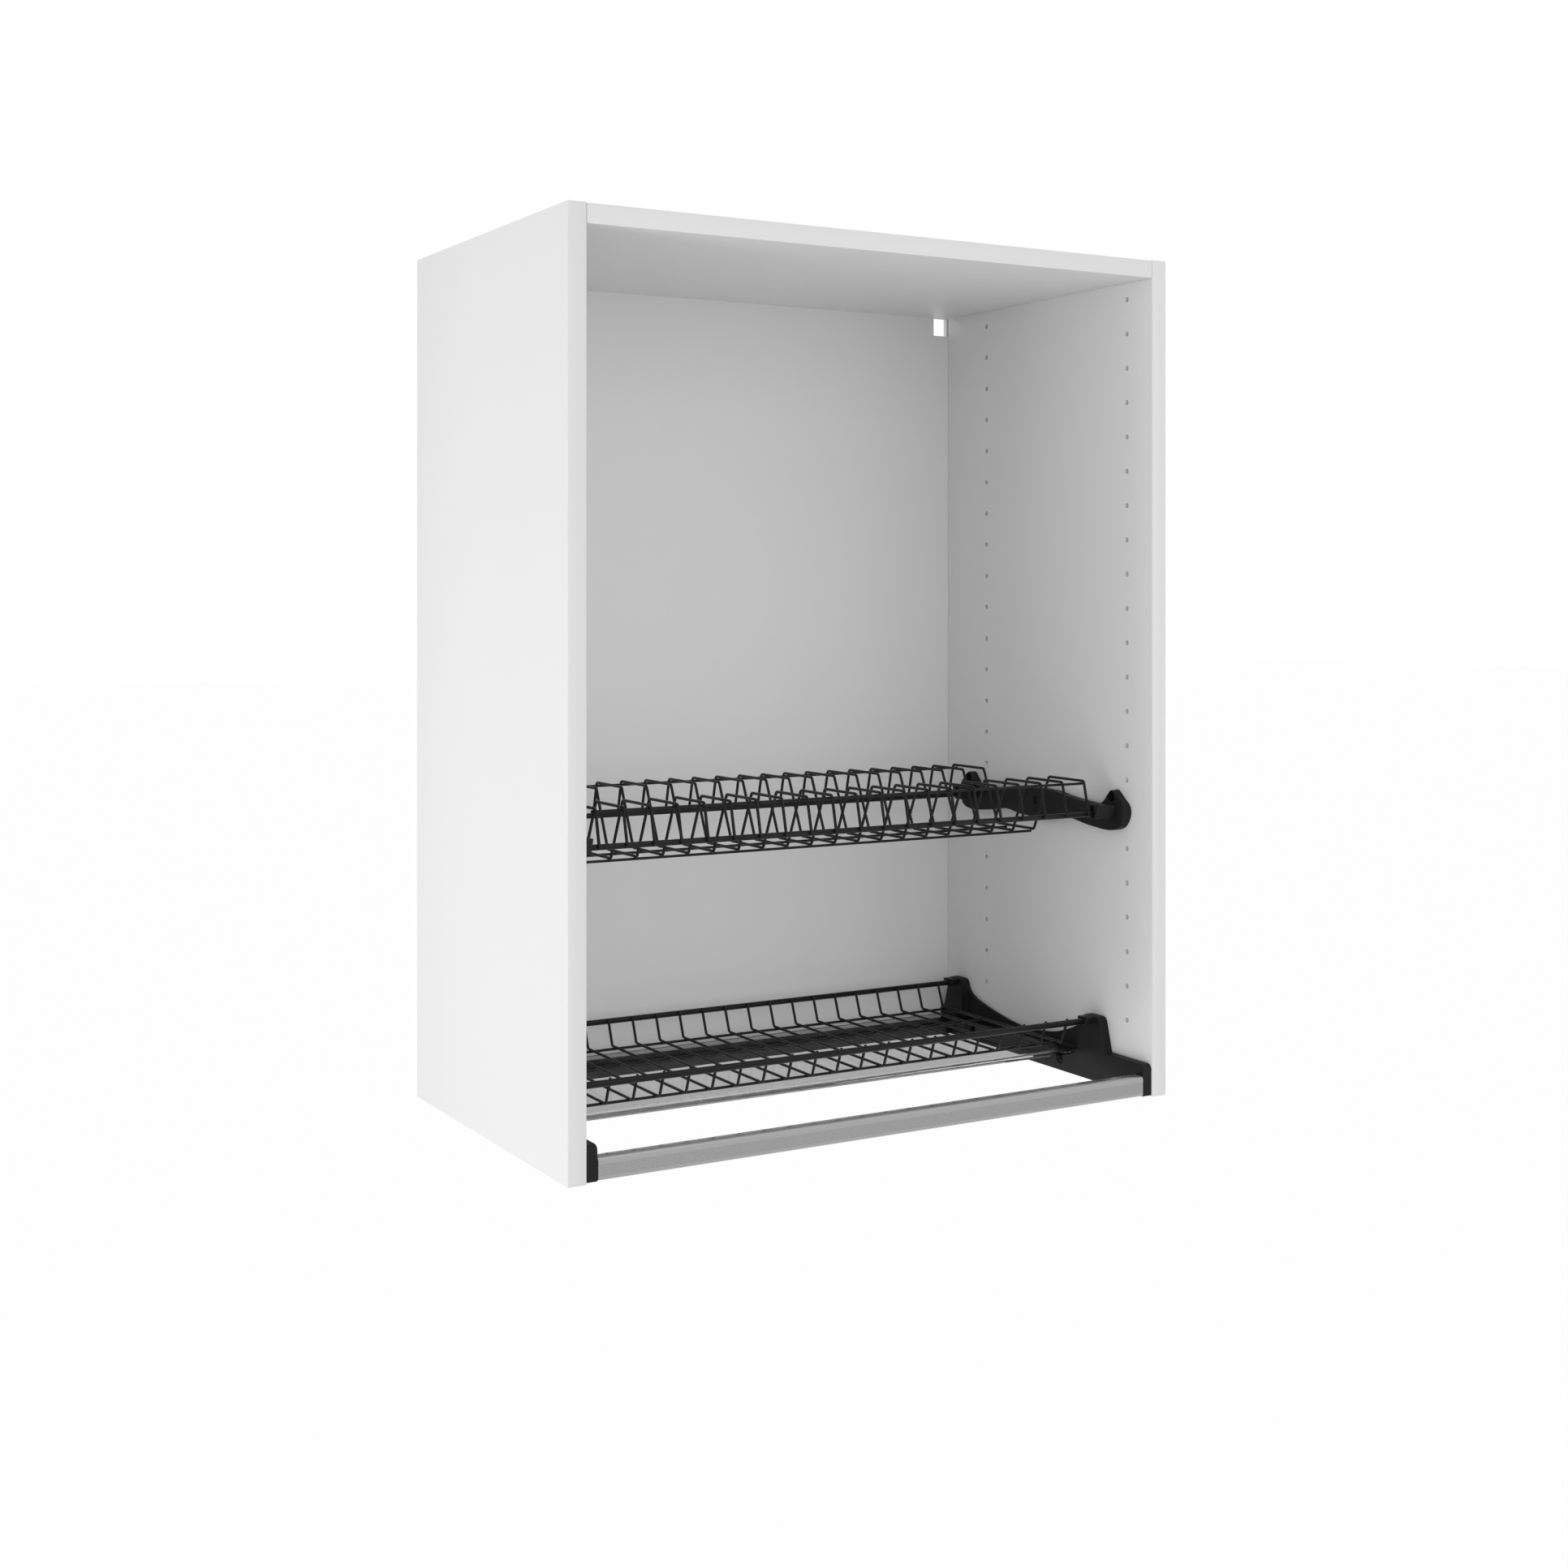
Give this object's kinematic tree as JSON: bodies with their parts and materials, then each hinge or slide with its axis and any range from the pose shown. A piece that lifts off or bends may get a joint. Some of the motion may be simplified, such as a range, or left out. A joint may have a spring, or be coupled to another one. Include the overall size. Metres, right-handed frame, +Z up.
{
  "type": "dish drainer",
  "caption": "Open-fronted wall unit with an upper wire plate rack, a lower wire glass rack, side arms, base brackets, a front rail and a clear drip tray.",
  "frame": {"origin": "middle of the unit's footprint, level with the lower edges of the side panels", "axes": "+X to the right seen from the open front, +Y from the open front to the back panel, +Z up"},
  "size_m": [0.6, 0.338, 0.768],
  "materials": {
    "white_melamine": "matt white melamine over chipboard",
    "white_backing_board": "white lacquered hardboard",
    "beech_dowel": "plain beech",
    "screw_steel": "blackened steel",
    "black_plastic": "finely grained moulded plastic",
    "black_wire": "satin black coating on steel wire",
    "anodised_aluminium": "satin anodised extrusion with fine ribs",
    "clear_plastic": "clear moulded plastic"
  },
  "bodies": {
    "cabinet": {"side_panel_left": "white_melamine", "side_panel_right": "white_melamine", "top_panel": "white_melamine", "back_panel": "white_backing_board", "dowel_left_front": "beech_dowel", "dowel_left_rear": "beech_dowel", "dowel_right_front": "beech_dowel", "dowel_right_rear": "beech_dowel", "base_bracket_left": "black_plastic", "base_bracket_right": "black_plastic", "bracket_screw_left_front": "screw_steel", "bracket_screw_left_rear": "screw_steel", "bracket_screw_right_front": "screw_steel", "bracket_screw_right_rear": "screw_steel", "arm_screw_left_front": "screw_steel", "arm_screw_left_rear": "screw_steel", "arm_screw_right_front": "screw_steel", "arm_screw_right_rear": "screw_steel", "rail_screw_left_front": "screw_steel", "rail_screw_left_rear": "screw_steel", "rail_screw_right_front": "screw_steel", "rail_screw_right_rear": "screw_steel", "front_rail": "anodised_aluminium", "rear_rail": "black_plastic", "glass_rack_front_rod": "black_wire", "glass_rack_rear_rod": "black_wire", "glass_rack_grid": "black_wire", "side_arm_left": "black_plastic", "side_arm_right": "black_plastic"},
    "drip_tray": {"drip_tray": "clear_plastic"},
    "plate_rack": {"plate_rack_front_rod": "black_wire", "plate_rack_rear_rod": "black_wire", "plate_wire_01": "black_wire", "plate_wire_02": "black_wire", "plate_wire_03": "black_wire", "plate_wire_04": "black_wire", "plate_wire_05": "black_wire", "plate_wire_06": "black_wire", "plate_wire_07": "black_wire", "plate_wire_08": "black_wire", "plate_wire_09": "black_wire", "plate_wire_10": "black_wire", "plate_wire_11": "black_wire", "plate_wire_12": "black_wire", "plate_wire_13": "black_wire", "plate_wire_14": "black_wire", "plate_wire_15": "black_wire", "plate_wire_16": "black_wire", "plate_wire_17": "black_wire", "plate_wire_18": "black_wire", "plate_wire_19": "black_wire", "plate_wire_20": "black_wire", "plate_wire_21": "black_wire", "hump_wire_front": "black_wire", "hump_wire_rear": "black_wire", "trough_wire_front": "black_wire", "trough_wire_rear": "black_wire"}
  },
  "joints": [
    {"name": "drip_tray_slide", "type": "slide", "parent": "cabinet", "child": "drip_tray", "axis": [0, -1, 0], "range_m": [0, 0.085]},
    {"name": "plate_rack_lift", "type": "slide", "parent": "cabinet", "child": "plate_rack", "axis": [0, 0, 1], "range_m": [0, 0.12]}
  ]
}
